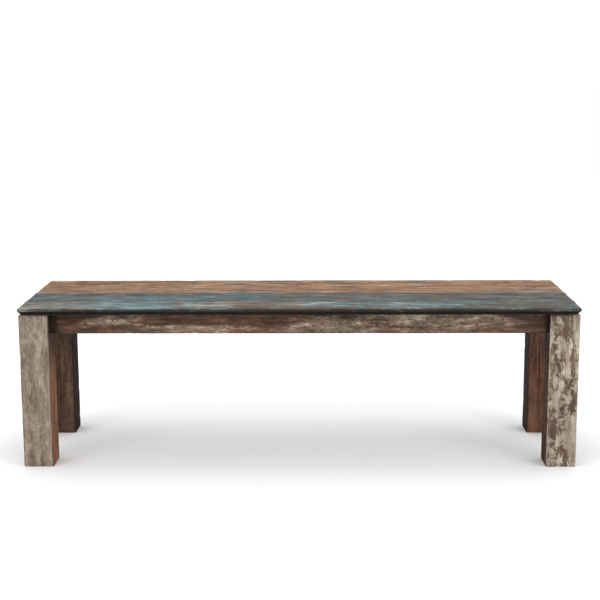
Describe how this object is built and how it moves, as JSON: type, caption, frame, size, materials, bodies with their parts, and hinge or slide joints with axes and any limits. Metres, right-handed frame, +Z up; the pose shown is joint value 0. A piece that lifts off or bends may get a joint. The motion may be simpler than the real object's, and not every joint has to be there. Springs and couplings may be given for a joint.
{
  "type": "bench",
  "caption": "Backless bench of reclaimed painted planks: an edge-jointed plank seat on battens and an apron, with thick square legs bolted through corner blocks.",
  "frame": {"origin": "on the floor, under the middle of the bench", "axes": "+X along the bench, to the right as seen from the front; +Y from the front to the back; +Z up"},
  "size_m": [1.524, 0.456, 0.45],
  "materials": {
    "seat_blue_paint": "worn sky-blue and grey-white paint over brown timber, satin",
    "seat_teal_paint": "worn teal and vivid blue paint over grey-brown timber, satin",
    "seat_salmon_paint": "faded salmon paint over brown timber, satin",
    "seat_brown_wood": "worn salmon-brown timber with cream and grey streaks, satin",
    "leg_greige_paint": "thin greige paint over sawn timber, matt",
    "leg_cream_paint": "chipped cream paint over brown timber, matt",
    "leg_brown_wood": "dark brown sawn timber, matt",
    "leg_red_brown_wood": "dark red-brown sawn timber, matt",
    "rail_worn_wood": "dark brown timber with patches of worn cream paint, matt",
    "plain_wood": "bare sawn timber",
    "zinc_steel": "zinc-plated steel"
  },
  "bodies": {
    "root": {"batten_left": "plain_wood", "batten_middle": "plain_wood", "batten_right": "plain_wood", "batten_screw_left_1": "zinc_steel", "batten_screw_left_2": "zinc_steel", "batten_screw_left_3": "zinc_steel", "batten_screw_left_4": "zinc_steel", "batten_screw_middle_1": "zinc_steel", "batten_screw_middle_2": "zinc_steel", "batten_screw_middle_3": "zinc_steel", "batten_screw_middle_4": "zinc_steel", "batten_screw_right_1": "zinc_steel", "batten_screw_right_2": "zinc_steel", "batten_screw_right_3": "zinc_steel", "batten_screw_right_4": "zinc_steel", "corner_block_back_left": "plain_wood", "corner_block_back_right": "plain_wood", "corner_block_front_left": "plain_wood", "corner_block_front_right": "plain_wood", "end_rail_left": "rail_worn_wood", "end_rail_right": "rail_worn_wood", "end_rail_screw_back_left": "zinc_steel", "end_rail_screw_back_right": "zinc_steel", "end_rail_screw_front_left": "zinc_steel", "end_rail_screw_front_right": "zinc_steel", "hanger_bolt_back_left": "zinc_steel", "hanger_bolt_back_right": "zinc_steel", "hanger_bolt_front_left": "zinc_steel", "hanger_bolt_front_right": "zinc_steel", "leg_back_left": "leg_brown_wood", "leg_back_right": "leg_red_brown_wood", "leg_front_left": "leg_greige_paint", "leg_front_right": "leg_cream_paint", "nut_back_left": "zinc_steel", "nut_back_right": "zinc_steel", "nut_front_left": "zinc_steel", "nut_front_right": "zinc_steel", "rail_back": "rail_worn_wood", "rail_front": "rail_worn_wood", "rail_screw_back_left": "zinc_steel", "rail_screw_back_right": "zinc_steel", "rail_screw_front_left": "zinc_steel", "rail_screw_front_right": "zinc_steel", "seat_board_back": "seat_brown_wood", "seat_board_front": "seat_blue_paint", "seat_board_second": "seat_teal_paint", "seat_board_third": "seat_salmon_paint", "seat_screw_back_left": "zinc_steel", "seat_screw_back_right": "zinc_steel", "seat_screw_front_left": "zinc_steel", "seat_screw_front_right": "zinc_steel", "spline_back": "plain_wood", "spline_front": "plain_wood", "spline_middle": "plain_wood", "washer_back_left": "zinc_steel", "washer_back_right": "zinc_steel", "washer_front_left": "zinc_steel", "washer_front_right": "zinc_steel"}
  },
  "joints": []
}
